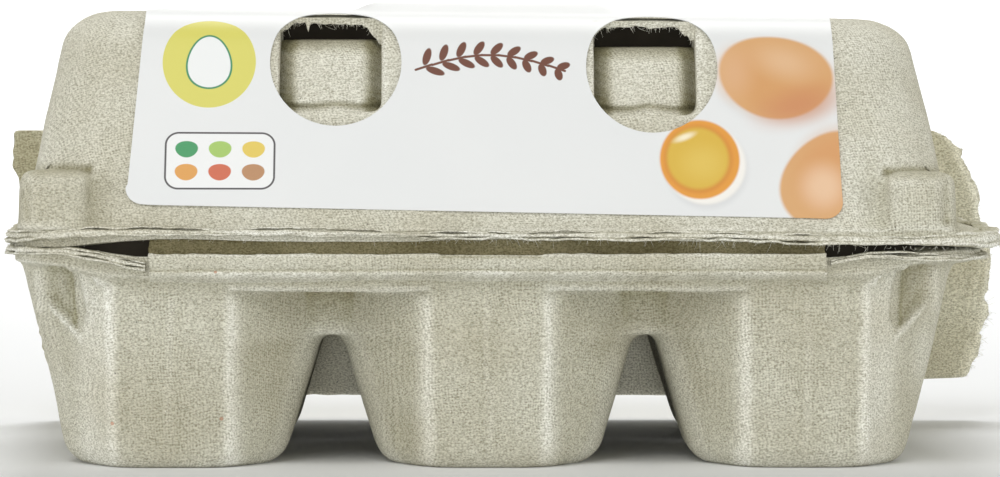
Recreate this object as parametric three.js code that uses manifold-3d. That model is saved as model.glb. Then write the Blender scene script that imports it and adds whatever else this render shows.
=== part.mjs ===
// A shut egg carton of moulded pulp for two rows of three eggs: a tray of six tapered cups, a lid
// with a raised middle and two latch holes, the latch flap that closes them, the hinge panel
// behind, and a paper label over the lid.
// Millimetres, +Z up, the latch side faces -Y, and the carton stands on Z = 0.
import * as THREE from "three";
import { mergeVertices } from "three/addons/utils/BufferGeometryUtils.js";
import Module from "manifold-3d";

const wasm = await Module();
wasm.setup();
const { clamp, smoothstep, lerp, degToRad } = THREE.MathUtils;

// Driving dimensions
const cellPitch = 49.3; // from one cup's middle to the next, both ways
const rimHalfX = 75.4;
const rimHalfY = 50.6;
const rimCorner = 13;
const trayTop = 34.4;
const lidBottom = 34.7;
const lidTop = 70.4;
const lidLean = 0.011; // the lid's top falls this much for each millimetre towards +X

// Tray
// From a cup's middle to each of the tray's outer walls, at the foot and at the rim
const cupWalls = {
  front: { foot: 20, rim: 23.4 },
  end: { foot: 16.7, rim: 24.8 },
};
const facetHalf = 9; // half the width of the flat facet on each side of a cup
const facetRound = 3.2; // how far from each edge between two facets the rounding starts
const footRound = { height: 2.6, inset: 1.8, power: 2 }; // the rounding of a cup's foot
const channelFootHalf = 7.6; // half the width of the channels between the cups, at the foot
const channelSlope = 0.295;
const archShoulder = 17.6; // where the round top of a channel starts
const archTop = 20.4;
const archSteps = [1.3, 0.4]; // rings of a cup this far below the top of the channels
const ledgeHeight = 27.9; // underside of the band that joins the cups
const webDepth = 10; // how far the wall over an arch lies behind the band
const rimPlateLow = 31.6;
const cupTop = rimPlateLow + 0.2;
// The tray's rim from its underside up: how far in each ring lies
const trayRimRings = [
  { z: rimPlateLow, inset: 2.8 },
  { z: 32.7, inset: 0.4 },
  { z: 33.6, inset: 0 },
  { z: trayTop, inset: 0.3 },
];
const trayRimBow = -1.9; // how far the front rim sags between its ends
const trayRimFlare = 3.2; // how far the rim is bent outwards at its right front corner
const bowFrom = 57; // the sag starts to fade this far from the middle
const bowTo = 70;
const flareFrom = { x: 60, y: -20 };
const flareTo = { x: rimHalfX, y: 20 };
const postHollow = { foot: 6.5, tip: 3.2, depth: 9 }; // under the posts between four cups
// The dents at the tray's corners, where nested trays come apart
const lug = { x: 65.4, y: 41.2, z: 28.5, radius: 2.3, length: 9, lean: 11 };

// Lid
const lidWall = { low: 37.4, frontHalf: 48.9, slope: 0.53 }; // front wall, from above the lip
const lidEnd = { lowHalf: 73, bendHalf: 70.4, bendZ: 53, slope: 0.21 }; // end walls, with a bend
const lidEdge = { height: 4.4, inward: 6.6, slopeEnd: 68.64 }; // the rounded upper edge
const lidCorner = 14;
// The lip from its underside up; the bow is its share of lidBow
const lidLipRings = [
  { z: lidBottom, inset: 0.4, bow: 1 },
  { z: 35.5, inset: 0, bow: 1 },
  { z: 36.5, inset: 0.2, bow: 0.4 },
];
const lidBow = 1; // how far the lid's front lip arches up
const lidFlare = 5; // how far the lip is bent outwards at its right front corner
const humpHeight = 1.5;
const humpHalf = { x: 20, y: 23, ramp: 5 };
const humpReach = 30;
const block = { halfX: 5.8, middleX: 67.2, low: 36, top: 46.3, depth: 12, setBack: 1 };
const blockRound = { top: 1.4, inner: 2.2, outer: 5.4 }; // outer is at the carton's own corner
const holeHalf = 7.9;
const holeLow = 55.2;
const holeHigh = 69.2;
const holeBack = 24;

// Latch flap
const strip = { half: 52.5, low: 33, high: 35.2, front: 1.6, back: 4.2 }; // front and back from the rim
const knob = { half: 7.5, low: 55.5, high: 66.1, corner: 1.4, setBack: 0.8 };
// A knob's rings from its back to its face: how far in from each side, and from the top and foot
const knobRings = [
  { side: 0, end: 0, reach: 0 },
  { side: 0, end: 0, reach: 0.6 },
  { side: 0.7, end: 0.1, reach: 0.78 },
  { side: 1.9, end: 0.4, reach: 0.93 },
  { side: 3.3, end: 1.1, reach: 1 },
];

// Hinge panel
const panelThickness = 2.2;
const panelEnds = { left: -82.3, right: 88.3 };
const panelFoot = { left: -75.6, middle: 34, right: 84.2 };
const panelLow = 4.3;
const panelTop = 50.4;

// Label
const labelGap = 0.3;
const labelThickness = 0.3;
const labelHalf = { foot: 55.5, top: 54 };
const labelShift = { foot: -0.6, top: 0.1 };
const labelFoot = 40;
const labelTilt = 0.019; // its lower edge falls this much for each millimetre towards +X
const labelBack = 24; // how far over the top it reaches behind the middle
const windowHalf = { x: 10.3, along: 9.8 };
const windowMiddles = [
  { x: -23.8, z: 61.7 },
  { x: 25.7, z: 61 },
];

const touching = 0.3; // gap between two pieces that touch
const panelFront = rimHalfY + touching;
const middleX = (panelEnds.left + panelEnds.right) / 2;
const middleY = (panelFront + panelThickness - rimHalfY) / 2;

// Solids from closed meshes, and back
function solidOf(geometry) {
  geometry.deleteAttribute("normal");
  geometry.deleteAttribute("uv");
  const merged = mergeVertices(geometry, 1e-4);
  return new wasm.Manifold(
    new wasm.Mesh({
      numProp: 3,
      vertProperties: new Float32Array(merged.attributes.position.array),
      triVerts: new Uint32Array(merged.index.array),
    }),
  );
}

function indexedGeometry(positions, triangles) {
  const geometry = new THREE.BufferGeometry();
  geometry.setAttribute("position", new THREE.Float32BufferAttribute(positions.flat(), 3));
  geometry.setIndex(triangles.flat());
  return geometry;
}

// A closed skin over rings of equally many points, each ring anticlockwise seen from its end
function loft(rings) {
  const count = rings[0].length;
  const last = rings.length - 1;
  const positions = rings.flat();
  const triangles = [];
  for (let k = 0; k < last; k++)
    for (let i = 0; i < count; i++) {
      const next = (i + 1) % count;
      const [low, high] = [k * count, (k + 1) * count];
      triangles.push([low + i, low + next, high + next], [low + i, high + next, high + i]);
    }
  const middleOf = (ring) => [0, 1, 2].map((axis) => ring.reduce((sum, p) => sum + p[axis], 0) / count);
  positions.push(middleOf(rings[0]), middleOf(rings[last]));
  for (let i = 0; i < count; i++) {
    const next = (i + 1) % count;
    triangles.push([positions.length - 2, next, i]);
    triangles.push([positions.length - 1, last * count + i, last * count + next]);
  }
  return solidOf(indexedGeometry(positions, triangles));
}

// A plate between two grids of points, of which the first is the outer face
function sheet(outer, inner) {
  const columns = outer[0].length;
  const [top, right] = [outer.length - 1, columns - 1];
  const positions = [...outer.flat(), ...inner.flat()];
  const face = (r, c) => r * columns + c;
  const back = (r, c) => outer.flat().length + face(r, c);
  const triangles = [];
  const quad = (a, b, c, d) => triangles.push([a, b, c], [a, c, d]);
  for (let r = 0; r < top; r++)
    for (let c = 0; c < right; c++) {
      quad(face(r, c), face(r, c + 1), face(r + 1, c + 1), face(r + 1, c));
      quad(back(r, c), back(r + 1, c), back(r + 1, c + 1), back(r, c + 1));
    }
  for (let c = 0; c < right; c++) {
    quad(back(0, c), back(0, c + 1), face(0, c + 1), face(0, c));
    quad(face(top, c), face(top, c + 1), back(top, c + 1), back(top, c));
  }
  for (let r = 0; r < top; r++) {
    quad(face(r, 0), face(r + 1, 0), back(r + 1, 0), back(r, 0));
    quad(back(r, right), back(r + 1, right), face(r + 1, right), face(r, right));
  }
  return solidOf(indexedGeometry(positions, triangles));
}

function unionOf(solids) {
  return solids.reduce((whole, solid) => whole.add(solid));
}

function box(low, high) {
  const size = high.map((value, axis) => value - low[axis]);
  const geometry = new THREE.BoxGeometry(...size);
  geometry.translate(...low.map((value, axis) => value + size[axis] / 2));
  return solidOf(geometry);
}

// Each corner of an outline becomes three points; a cut may be one for all or one for each
function roundCorners(corners, cuts) {
  return corners.flatMap((corner, i) => {
    const cut = Array.isArray(cuts) ? cuts[i] : cuts;
    const before = corners[(i + corners.length - 1) % corners.length];
    const after = corners[(i + 1) % corners.length];
    const towards = (other) => {
      const length = Math.hypot(other[0] - corner[0], other[1] - corner[1]);
      const share = Math.min(cut / length, 0.45);
      return [lerp(corner[0], other[0], share), lerp(corner[1], other[1], share)];
    };
    const [a, b] = [towards(before), towards(after)];
    const middle = [0, 1].map((axis) => (a[axis] + b[axis] + 2 * corner[axis]) / 4);
    return [a, middle, b];
  });
}

// Rounded rectangle, with points along its long sides for the sag of the rims
function rimRing(halfX, halfY, radius, z) {
  const [along, across, arc] = [12, 4, 4];
  const points = [];
  const corner = (x, y, start) => {
    for (let k = 0; k <= arc; k++) {
      const angle = start + (k / arc) * (Math.PI / 2);
      points.push([x + radius * Math.cos(angle), y + radius * Math.sin(angle), z]);
    }
  };
  const side = (from, to, steps) => {
    for (let k = 1; k < steps; k++) {
      const share = k / steps;
      points.push([lerp(from[0], to[0], share), lerp(from[1], to[1], share), z]);
    }
  };
  const [x, y] = [halfX - radius, halfY - radius];
  side([-x, -halfY], [x, -halfY], along);
  corner(x, -y, -Math.PI / 2);
  side([halfX, -y], [halfX, y], across);
  corner(x, y, 0);
  side([x, halfY], [-x, halfY], along);
  corner(-x, y, Math.PI / 2);
  side([-halfX, y], [-halfX, -y], across);
  corner(-x, -y, Math.PI);
  return points;
}

// How strongly the front rims sag at a point: full at the middle of the front, none behind
function frontSag(x, y) {
  return y < 0 ? 1 - smoothstep(Math.abs(x), bowFrom, bowTo) : 0;
}

// A ring of a rim: its front bowed up or down, its right front corner bent outwards
function lipRing({ z, inset }, bow, flare) {
  return rimRing(rimHalfX - inset, rimHalfY - inset, rimCorner, z).map(([x, y]) => {
    const bent = smoothstep(x, flareFrom.x, flareTo.x) * (1 - smoothstep(y, flareFrom.y, flareTo.y));
    return [x + flare * bent, y, z + bow * frontSag(x, y)];
  });
}

function leaned([x, y, z]) {
  const share = clamp((z - lidWall.low) / (lidTop - lidWall.low), 0, 1);
  return [x, y, z - lidLean * x * share];
}

// Tray
function outerHalf(wall, z) {
  return lerp(cupWalls[wall].foot, cupWalls[wall].rim, z / trayTop);
}

function channelHalf(z) {
  if (z <= archShoulder) return channelFootHalf - channelSlope * z;
  const share = Math.min((z - archShoulder) / (archTop - archShoulder), 1);
  const shoulderHalf = channelFootHalf - channelSlope * archShoulder;
  return z < archTop ? shoulderHalf * Math.sqrt(1 - share * share) : -0.4;
}

// An octagon with rounded edges; the four reaches are from the middle to each side
function facetRing([x, y], z, [left, right, front, rear], inset) {
  const f = facetHalf - inset * 0.4;
  const [l, r, a, b] = [left, right, front, rear].map((reach) => reach - inset);
  const corners = [[r, -f], [r, f], [f, b], [-f, b], [-l, f], [-l, -f], [-f, -a], [f, -a]];
  return roundCorners(corners, facetRound).map(([dx, dy]) => [x + dx, y + dy, z]);
}

function cup(column, row) {
  const middle = [column * cellPitch, (row * cellPitch) / 2];
  const arch = archSteps.map((drop) => archTop - drop);
  const heights = [0, 0.4, 1.2, footRound.height, 11, archShoulder, ...arch, archTop, cupTop];
  const rings = heights.map((z) => {
    const inner = cellPitch / 2 - channelHalf(z);
    const outer = outerHalf("front", z);
    const sunk = Math.max(1 - z / footRound.height, 0);
    const left = column < 0 ? outerHalf("end", z) : inner;
    const right = column > 0 ? outerHalf("end", z) : inner;
    const [front, rear] = row < 0 ? [outer, inner] : [inner, outer];
    return facetRing(middle, z, [left, right, front, rear], footRound.inset * sunk ** footRound.power);
  });
  return loft(rings);
}

// The tray's whole outline at one height, set back by a distance
function trayRing(z, back) {
  const reachX = cellPitch + outerHalf("end", z) - back;
  const reachY = cellPitch / 2 + outerHalf("front", z) - back;
  const [x, y] = [cellPitch + facetHalf - back, cellPitch / 2 + facetHalf - back];
  const half = [[reachX, -y], [reachX, y], [x, reachY], [-x, reachY]];
  const corners = [...half, ...half.map(([px, py]) => [-px, -py])];
  return roundCorners(corners, facetRound).map(([px, py]) => [px, py, z]);
}

function trayRim() {
  return loft(trayRimRings.map((ring) => lipRing(ring, trayRimBow, trayRimFlare)));
}

function lugDent(sideX, sideY) {
  const dent = new THREE.CapsuleGeometry(lug.radius, lug.length, 4, 10);
  dent.rotateX(Math.PI / 2);
  dent.rotateY(sideX * degToRad(lug.lean));
  dent.translate(sideX * lug.x, sideY * lug.y, lug.z);
  return solidOf(dent);
}

function postHole(x) {
  const { foot, tip, depth } = postHollow;
  const cone = new THREE.CylinderGeometry(tip, foot, depth + 1, 16);
  cone.rotateX(Math.PI / 2);
  cone.translate(x, 0, archTop + (depth - 1) / 2);
  return solidOf(cone);
}

function makeTray() {
  const pieces = [trayRim(), loft([trayRing(ledgeHeight, 0), trayRing(cupTop, 0)])];
  pieces.push(loft([trayRing(archTop - 0.1, webDepth), trayRing(rimPlateLow, webDepth)]));
  for (const row of [-1, 1]) for (const column of [-1, 0, 1]) pieces.push(cup(column, row));
  let tray = unionOf(pieces);
  for (const sideX of [-1, 1]) {
    tray = tray.subtract(postHole((sideX * cellPitch) / 2));
    for (const sideY of [-1, 1]) tray = tray.subtract(lugDent(sideX, sideY));
  }
  return tray;
}

// Lid
function frontHalfAt(z) {
  return lidWall.frontHalf - lidWall.slope * (z - lidWall.low);
}

function endHalfAt(z) {
  const { lowHalf, bendHalf, bendZ, slope } = lidEnd;
  if (z > bendZ) return bendHalf - slope * (z - bendZ);
  return lerp(lowHalf, bendHalf, (z - lidWall.low) / (bendZ - lidWall.low));
}

// Heights of the lid's rings, each with how far it has turned in over the upper edge
function lidLevels() {
  const { height, inward } = lidEdge;
  const heights = [lidWall.low, 46, lidEnd.bendZ, 59, lidTop - height];
  const levels = heights.map((z) => ({ z, inward: 0 }));
  for (const turn of [22, 45, 68, 90]) {
    const angle = degToRad(turn);
    const z = lidTop - height * (1 - Math.sin(angle));
    levels.push({ z, inward: inward * (1 - Math.cos(angle)) });
  }
  return levels;
}

function lidProfile() {
  return lidLevels().map(({ z, inward }) => {
    const wallHeight = Math.min(z, lidEdge.slopeEnd);
    return { z, x: endHalfAt(wallHeight) - inward, y: frontHalfAt(wallHeight) - inward };
  });
}

function lidShell() {
  const lip = lidLipRings.map((ring) => lipRing(ring, ring.bow * lidBow, lidFlare));
  const walls = lidProfile().map(({ x, y, z }) => rimRing(x, y, lidCorner, z));
  return loft([...lip, ...walls].map((ring) => ring.map(leaned)));
}

// The upright corner feet of the lid
function cornerBlock(sideX, sideY) {
  const { top, inner, outer } = blockRound;
  const blockY = rimHalfY - block.setBack - block.depth / 2;
  const ring = (z, inset) => {
    const [x, y] = [block.halfX - inset, block.depth / 2 - inset];
    const corners = [[x, -y], [x, y], [-x, y], [-x, -y]];
    const cuts = corners.map(([dx, dy]) => (dx * sideX > 0 && dy * sideY > 0 ? outer : inner));
    return roundCorners(corners, cuts).map(([dx, dy]) =>
      leaned([sideX * block.middleX + dx, sideY * blockY + dy, z]),
    );
  };
  const levels = [[block.low, 0], [block.top - top, 0.3], [block.top - top / 3, 0.8], [block.top, 1.7]];
  return loft(levels.map(([z, inset]) => ring(z, inset)));
}

// Height of the raised middle over the lid's flat top
function humpAt(x, y) {
  const { ramp } = humpHalf;
  const over = (value, half) => 1 - smoothstep(Math.abs(value), half - ramp / 2, half + ramp / 2);
  return humpHeight * over(x, humpHalf.x) * over(y, humpHalf.y);
}

// Columns across the lid, close together where the raised middle starts
function crossings(half) {
  const { x, ramp } = humpHalf;
  const steps = [-half, -(half + x) / 2];
  for (let k = 0; k <= 4; k++) steps.push(-x - ramp / 2 + (k * ramp) / 4);
  const right = steps.map((value) => -value).reverse();
  return [...steps, -x / 2, 0, x / 2, ...right];
}

function topRows() {
  const { y, ramp } = humpHalf;
  const rows = [];
  for (let k = 0; k <= 4; k++) rows.push(-y - ramp / 2 + (k * ramp) / 4);
  return [...rows, 0, ...rows.map((value) => -value).reverse()];
}

function hump() {
  const grid = (heightAt) =>
    topRows().map((y) => crossings(humpReach).map((x) => leaned([x, y, heightAt(x, y)])));
  return sheet(grid((x, y) => lidTop + humpAt(x, y) + 0.01), grid(() => lidTop - 1));
}

function makeLid() {
  const pieces = [lidShell(), hump()];
  for (const sideX of [-1, 1]) for (const sideY of [-1, 1]) pieces.push(cornerBlock(sideX, sideY));
  let lid = unionOf(pieces);
  for (const side of [-1, 1]) {
    const middle = (side * cellPitch) / 2;
    const drop = lidLean * middle;
    const low = [middle - holeHalf, -rimHalfY, holeLow - drop];
    const high = [middle + holeHalf, -holeBack, holeHigh - drop];
    lid = lid.subtract(box(low, high));
  }
  return lid;
}

// The latch flap: its fold shows in the gap, its two knobs in the lid's holes
function makeKnob(side) {
  const middle = (side * cellPitch) / 2;
  const drop = lidLean * middle;
  return loft(
    knobRings.map(({ side: inX, end, reach }) => {
      const [x, low, high] = [knob.half - inX, knob.low + end, knob.high - end];
      const corners = [[x, low], [x, high], [-x, high], [-x, low]];
      return roundCorners(corners, knob.corner).map(([dx, z]) => {
        const y = lerp(-holeBack - touching, knob.setBack - frontHalfAt(z), reach);
        return [middle + dx, y, z - drop];
      });
    }),
  );
}

function makeFlapStrip() {
  const { half, low, high, front, back } = strip;
  return box([-half, front - rimHalfY, low], [half, back - rimHalfY, high]);
}

// The hinge panel, an upright strip of pulp with torn ends
function makePanel() {
  const outline = new THREE.Shape();
  const { left, right } = panelEnds;
  outline.moveTo(panelFoot.left + 9.6, panelLow);
  outline.lineTo(panelFoot.middle, panelLow);
  outline.lineTo(panelFoot.right - 7.2, panelLow + 2.7);
  outline.lineTo(panelFoot.right, panelLow + 3);
  outline.lineTo(right - 3, panelLow + 6.2);
  outline.quadraticCurveTo(right - 0.7, 17, right, 25.4);
  outline.quadraticCurveTo(right, 30, right - 1.7, 33.5);
  outline.lineTo(right - 2.4, 39.5);
  outline.quadraticCurveTo(right - 4.5, 43.5, right - 6.1, 47.6);
  outline.quadraticCurveTo(right - 7.9, panelTop, right - 11.8, panelTop);
  outline.lineTo(left, panelTop);
  outline.lineTo(left + 0.2, 43.6);
  outline.lineTo(left + 1.4, 41.5);
  outline.lineTo(left + 2.1, 29);
  outline.quadraticCurveTo(left + 3.7, 17, panelFoot.left, panelLow + 2.9);
  outline.quadraticCurveTo(panelFoot.left + 1, panelLow, panelFoot.left + 9.6, panelLow);
  const settings = { depth: panelThickness, bevelEnabled: false, curveSegments: 6 };
  const panel = new THREE.ExtrudeGeometry(outline, settings);
  panel.rotateX(Math.PI / 2);
  panel.translate(0, panelFront + panelThickness, 0);
  return solidOf(panel);
}

// The label lies on the front wall and the top, a little above both
function labelPath() {
  const wall = lidProfile().map(({ y, z }) => [-y, z]);
  const first = wall.findIndex(([, z]) => z > labelFoot);
  const foot = [-frontHalfAt(labelFoot), labelFoot];
  const top = topRows().filter((y) => y < labelBack).map((y) => [y, lidTop]);
  return [foot, ...wall.slice(first), ...top, [labelBack, lidTop]];
}

// The path moved outwards by a distance
function movedOut(path, distance) {
  const normals = path.slice(1).map((point, i) => {
    const [dy, dz] = [point[0] - path[i][0], point[1] - path[i][1]];
    const length = Math.hypot(dy, dz);
    return [-dz / length, dy / length];
  });
  return path.map(([y, z], i) => {
    const [a, b] = [normals[Math.max(i - 1, 0)], normals[Math.min(i, normals.length - 1)]];
    const stretch = distance / (1 + a[0] * b[0] + a[1] * b[1]);
    return [y + (a[0] + b[0]) * stretch, z + (a[1] + b[1]) * stretch];
  });
}

function labelGrid(distance) {
  const path = labelPath();
  return movedOut(path, distance).map(([y, z], i) => {
    const [pathY, pathZ] = path[i];
    const share = (pathZ - labelFoot) / (lidTop - labelFoot);
    const half = lerp(labelHalf.foot, labelHalf.top, share);
    const shift = lerp(labelShift.foot, labelShift.top, share);
    return crossings(half).map((column) => {
      const x = Math.abs(column) === half ? column + shift : column;
      const footFall = i === 0 ? labelTilt * x : 0;
      const lift = pathZ >= lidTop ? humpAt(x, pathY) : 0;
      return leaned([x, y - footFall * lidWall.slope, z - footFall + lift]);
    });
  });
}

function windowCutter({ x, z }) {
  const cutter = new THREE.CylinderGeometry(1, 1, 16, 40);
  cutter.scale(windowHalf.x, 1, windowHalf.along);
  cutter.rotateX(Math.PI - Math.atan(lidWall.slope));
  cutter.translate(x, -frontHalfAt(z), z);
  return solidOf(cutter);
}

function makeLabel() {
  const label = sheet(labelGrid(labelGap + labelThickness), labelGrid(labelGap));
  return windowMiddles.reduce((left, middle) => left.subtract(windowCutter(middle)), label);
}

// Materials and the group
const pulp = { color: 0xc6c6b4, roughness: 0.95, metalness: 0 };
const shadedPulp = { color: 0xa9a68f, roughness: 0.95, metalness: 0 };
const paper = { color: 0xe9ebee, roughness: 0.5, metalness: 0 };

const group = new THREE.Group();
group.position.set(-middleX, -middleY, 0);

function addPiece(name, solid, look) {
  const mesh = solid.getMesh();
  const positions = [];
  for (let i = 0; i < mesh.numVert; i++)
    positions.push([...mesh.vertProperties.slice(i * mesh.numProp, i * mesh.numProp + 3)]);
  const geometry = indexedGeometry(positions, Array.from(mesh.triVerts));
  geometry.computeVertexNormals();
  const piece = new THREE.Mesh(geometry, new THREE.MeshStandardMaterial(look));
  piece.name = name;
  group.add(piece);
}

addPiece("base_tray", makeTray(), pulp);
addPiece("lid", makeLid(), pulp);
addPiece("latch_flap_fold", makeFlapStrip(), shadedPulp);
addPiece("latch_knob_left", makeKnob(-1), pulp);
addPiece("latch_knob_right", makeKnob(1), pulp);
addPiece("hinge_panel", makePanel(), shadedPulp);
addPiece("label", makeLabel(), paper);

export default group;
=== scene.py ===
import math

import bpy
import numpy as np
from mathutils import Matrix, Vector
from mathutils.geometry import delaunay_2d_cdt


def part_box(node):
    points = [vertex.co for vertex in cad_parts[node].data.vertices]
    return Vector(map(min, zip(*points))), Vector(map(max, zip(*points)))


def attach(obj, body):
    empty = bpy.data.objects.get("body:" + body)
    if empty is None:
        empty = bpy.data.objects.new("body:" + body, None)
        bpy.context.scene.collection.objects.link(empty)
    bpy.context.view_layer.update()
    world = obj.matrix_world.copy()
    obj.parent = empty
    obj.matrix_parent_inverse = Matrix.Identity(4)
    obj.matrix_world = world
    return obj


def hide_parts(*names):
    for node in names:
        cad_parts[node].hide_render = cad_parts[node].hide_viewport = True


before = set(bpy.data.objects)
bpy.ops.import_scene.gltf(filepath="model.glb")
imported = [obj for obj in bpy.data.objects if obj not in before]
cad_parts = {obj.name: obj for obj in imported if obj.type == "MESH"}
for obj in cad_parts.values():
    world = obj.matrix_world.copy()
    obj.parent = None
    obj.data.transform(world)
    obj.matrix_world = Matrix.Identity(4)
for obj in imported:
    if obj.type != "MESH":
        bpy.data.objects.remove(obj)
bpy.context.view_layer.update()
mm = 0.001
print("frame loaded:", sorted(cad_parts))

# The carton's own places in mm, as the part's source has them; its middle is taken from two boxes
trayLow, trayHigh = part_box("base_tray")
foldLow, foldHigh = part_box("latch_flap_fold")
carton = {
    "middleX": (foldLow[0] + foldHigh[0]) / 2 / mm,
    "middleY": (trayLow[1] + trayHigh[1]) / 2 / mm,
    "cellPitch": 49.3,
    "facetHalf": 9.0,
    "rimHalfX": 75.4,
    "rimHalfY": 50.6,
    "rimRadius": 13.0,
    "ledge": 27.9,
    "lidTop": 70.4,
    "lidEdge": 4.4,
    "lidWallLow": 37.4,
    "lidWallHalf": 48.9,
    "lidWallSlope": 0.53,
    "lidLean": 0.011,
    "holeHalf": 7.9,
    "holeLow": 55.2,
    "holeHigh": 69.2,
    "holeBack": 24.0,
    "humpHeight": 1.5,
    "humpHalfX": 20.0,
    "humpHalfY": 23.0,
    "humpRamp": 5.0,
}
cameraSettings = {
    "x": -3.0,
    "distance": 800.0,      # from the front rim
    "height": 71.6,
    "pixelsPerMm": 6.5,     # of the photograph, at the front rim
    "aimX": 1.83,
    "aimZ": 36.1,
    "imageWidth": 1000,
}


def linearColour(hexText):
    # sRGB hex to the linear values that shaders take
    values = [int(hexText[i:i + 2], 16) / 255 for i in (1, 3, 5)]
    return tuple(v / 12.92 if v <= 0.04045 else ((v + 0.055) / 1.055) ** 2.4 for v in values) + (1.0,)


def smoothStep(low, high, value):
    share = np.clip((value - low) / (high - low), 0, 1)
    return share * share * (3 - 2 * share)


def plateau(value, rise, full, end, fall):
    # 0 up to the rise, 1 from full to the end, and 0 again from the fall on
    return smoothStep(rise, full, value) * smoothStep(fall, end, value)


def bell(value, middle, half):
    # 1 at the middle, falling off over about the half width
    return np.exp(-((value - middle) / half) ** 2)


def softNoise(points, size, seed):
    # smooth random values from -1 to 1, in lumps of one size in mm
    table = np.random.default_rng(seed).uniform(-1, 1, 4096)
    cell = points / size
    base = np.floor(cell).astype(np.int64)
    part = cell - base
    part = part * part * (3 - 2 * part)
    total = np.zeros(len(points))
    for corner in range(8):
        step = np.array([corner & 1, corner >> 1 & 1, corner >> 2 & 1])
        place = base + step
        index = (place[:, 0] * 73856093 ^ place[:, 1] * 19349663 ^ place[:, 2] * 83492791) % 4096
        total += table[index] * np.prod(np.where(step == 1, part, 1 - part), axis=1)
    return total


def lineNoise(values, size, seed):
    # the same along one line
    values = np.asarray(values, dtype=float)
    rest = np.full(len(values), 0.5)
    return softNoise(np.column_stack([values, rest, rest]), size, seed)


def toFrame(points):
    # from the carton's own mm to the frame's metres
    return (np.asarray(points) + [carton["middleX"], carton["middleY"], 0]) * mm


def wallHalf(z):
    # how far the lid's front wall lies from the middle at a height
    return carton["lidWallHalf"] - carton["lidWallSlope"] * (z - carton["lidWallLow"])


def leanDrop(x, z):
    # the lid's top falls a little towards +X
    share = np.clip((z - carton["lidWallLow"]) / (carton["lidTop"] - carton["lidWallLow"]), 0, 1)
    return carton["lidLean"] * x * share


def humpAt(x, y):
    # the low hump in the middle of the lid's top
    ramp = carton["humpRamp"] / 2
    across = 1 - smoothStep(carton["humpHalfX"] - ramp, carton["humpHalfX"] + ramp, np.abs(x))
    along = 1 - smoothStep(carton["humpHalfY"] - ramp, carton["humpHalfY"] + ramp, np.abs(y))
    return carton["humpHeight"] * across * along


def newObject(name, data):
    made = bpy.data.objects.new(name, data)
    bpy.context.collection.objects.link(made)
    return made


# Camera, lights and floor

studio = {
    "lights": {
        # steep and soft from above, small and low behind the camera so that it reaches through the
        # arches, one from each side, one that whitens the paper behind, and one for the carton's back
        "keyLight": {"place": (-0.25, -0.8, 1.0), "aim": (0, 0, 0.03), "size": 0.7, "power": 4.6},
        "frontLight": {"place": (0.0, -2.5, 0.1), "aim": (0, 0, 0.03), "size": 0.2, "power": 9.3},
        "leftLight": {"place": (-1.2, -0.7, 0.3), "aim": (0, 0, 0.03), "size": 0.7, "power": 3.9},
        "rightLight": {"place": (1.2, -0.7, 0.3), "aim": (0, 0, 0.03), "size": 0.7, "power": 4.5},
        "wallLight": {"place": (0, 0.9, 1.7), "aim": (0, 1.6, 0.4), "size": 0.8, "power": 24.0},
        "backLight": {"place": (0.2, 1.3, 0.7), "aim": (0, 0, 0.02), "size": 0.8, "power": 4.0},
    },
    "worldStrength": 0.285,
    "worldColour": "#fffae6",
    "floorColour": "#f3f5f9",
    "floorRoughness": 0.9,
    "floorHalf": 4.0,
    "wallBehind": 1.6,
    "wallHeight": 0.3,      # fills the photograph's frame, and stays under the views from behind
    "sweepRadius": 0.25,
}


def makeCamera():
    data = bpy.data.cameras.new("photoCamera")
    data.sensor_width = 36.0
    fieldWidth = cameraSettings["imageWidth"] / cameraSettings["pixelsPerMm"]
    data.lens = data.sensor_width * cameraSettings["distance"] / fieldWidth
    data.clip_start = 0.01
    data.clip_end = 20.0
    camera = newObject("photoCamera", data)
    frontRim = -carton["rimHalfY"]
    place = Vector(toFrame((
        cameraSettings["x"], frontRim - cameraSettings["distance"], cameraSettings["height"])))
    aim = Vector(toFrame((cameraSettings["aimX"], frontRim, cameraSettings["aimZ"])))
    camera.location = place
    camera.rotation_euler = (aim - place).to_track_quat("-Z", "Y").to_euler()
    bpy.context.scene.camera = camera
    bpy.context.scene.view_settings.view_transform = "Standard"


def areaLight(name, place, aim, size, power):
    data = bpy.data.lights.new(name, "AREA")
    data.size = size
    data.energy = power
    light = newObject(name, data)
    light.location = place
    light.rotation_euler = (Vector(aim) - Vector(place)).to_track_quat("-Z", "Y").to_euler()


def makeStudio():
    for name, light in studio["lights"].items():
        areaLight(name, **light)
    world = bpy.data.worlds.new("paleStudio")
    world.use_nodes = True
    background = world.node_tree.nodes["Background"]
    background.inputs["Color"].default_value = linearColour(studio["worldColour"])
    background.inputs["Strength"].default_value = studio["worldStrength"]
    bpy.context.scene.world = world
    # the floor sweeps up into a wall behind, like studio paper
    half, radius, wall = studio["floorHalf"], studio["sweepRadius"], studio["wallBehind"]
    profile = [(-half, 0.0), (wall - radius, 0.0)]
    for angle in np.radians(np.linspace(7.5, 90, 12)):
        profile.append((wall - radius + radius * math.sin(angle), radius - radius * math.cos(angle)))
    profile.append((wall, studio["wallHeight"]))
    points = [(x, y, z) for y, z in profile for x in (-half, half)]
    faces = [(2 * k, 2 * k + 1, 2 * k + 3, 2 * k + 2) for k in range(len(profile) - 1)]
    mesh = bpy.data.meshes.new("studioPaper")
    mesh.from_pydata(points, [], faces)
    mesh.polygons.foreach_set("use_smooth", [True] * len(faces))
    floor = newObject("studioPaper", mesh)
    paint, shader = newMaterial("studioPaperWhite", studio["floorRoughness"])
    shader.inputs["Base Color"].default_value = linearColour(studio["floorColour"])
    mesh.materials.append(paint)


# Materials

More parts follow.
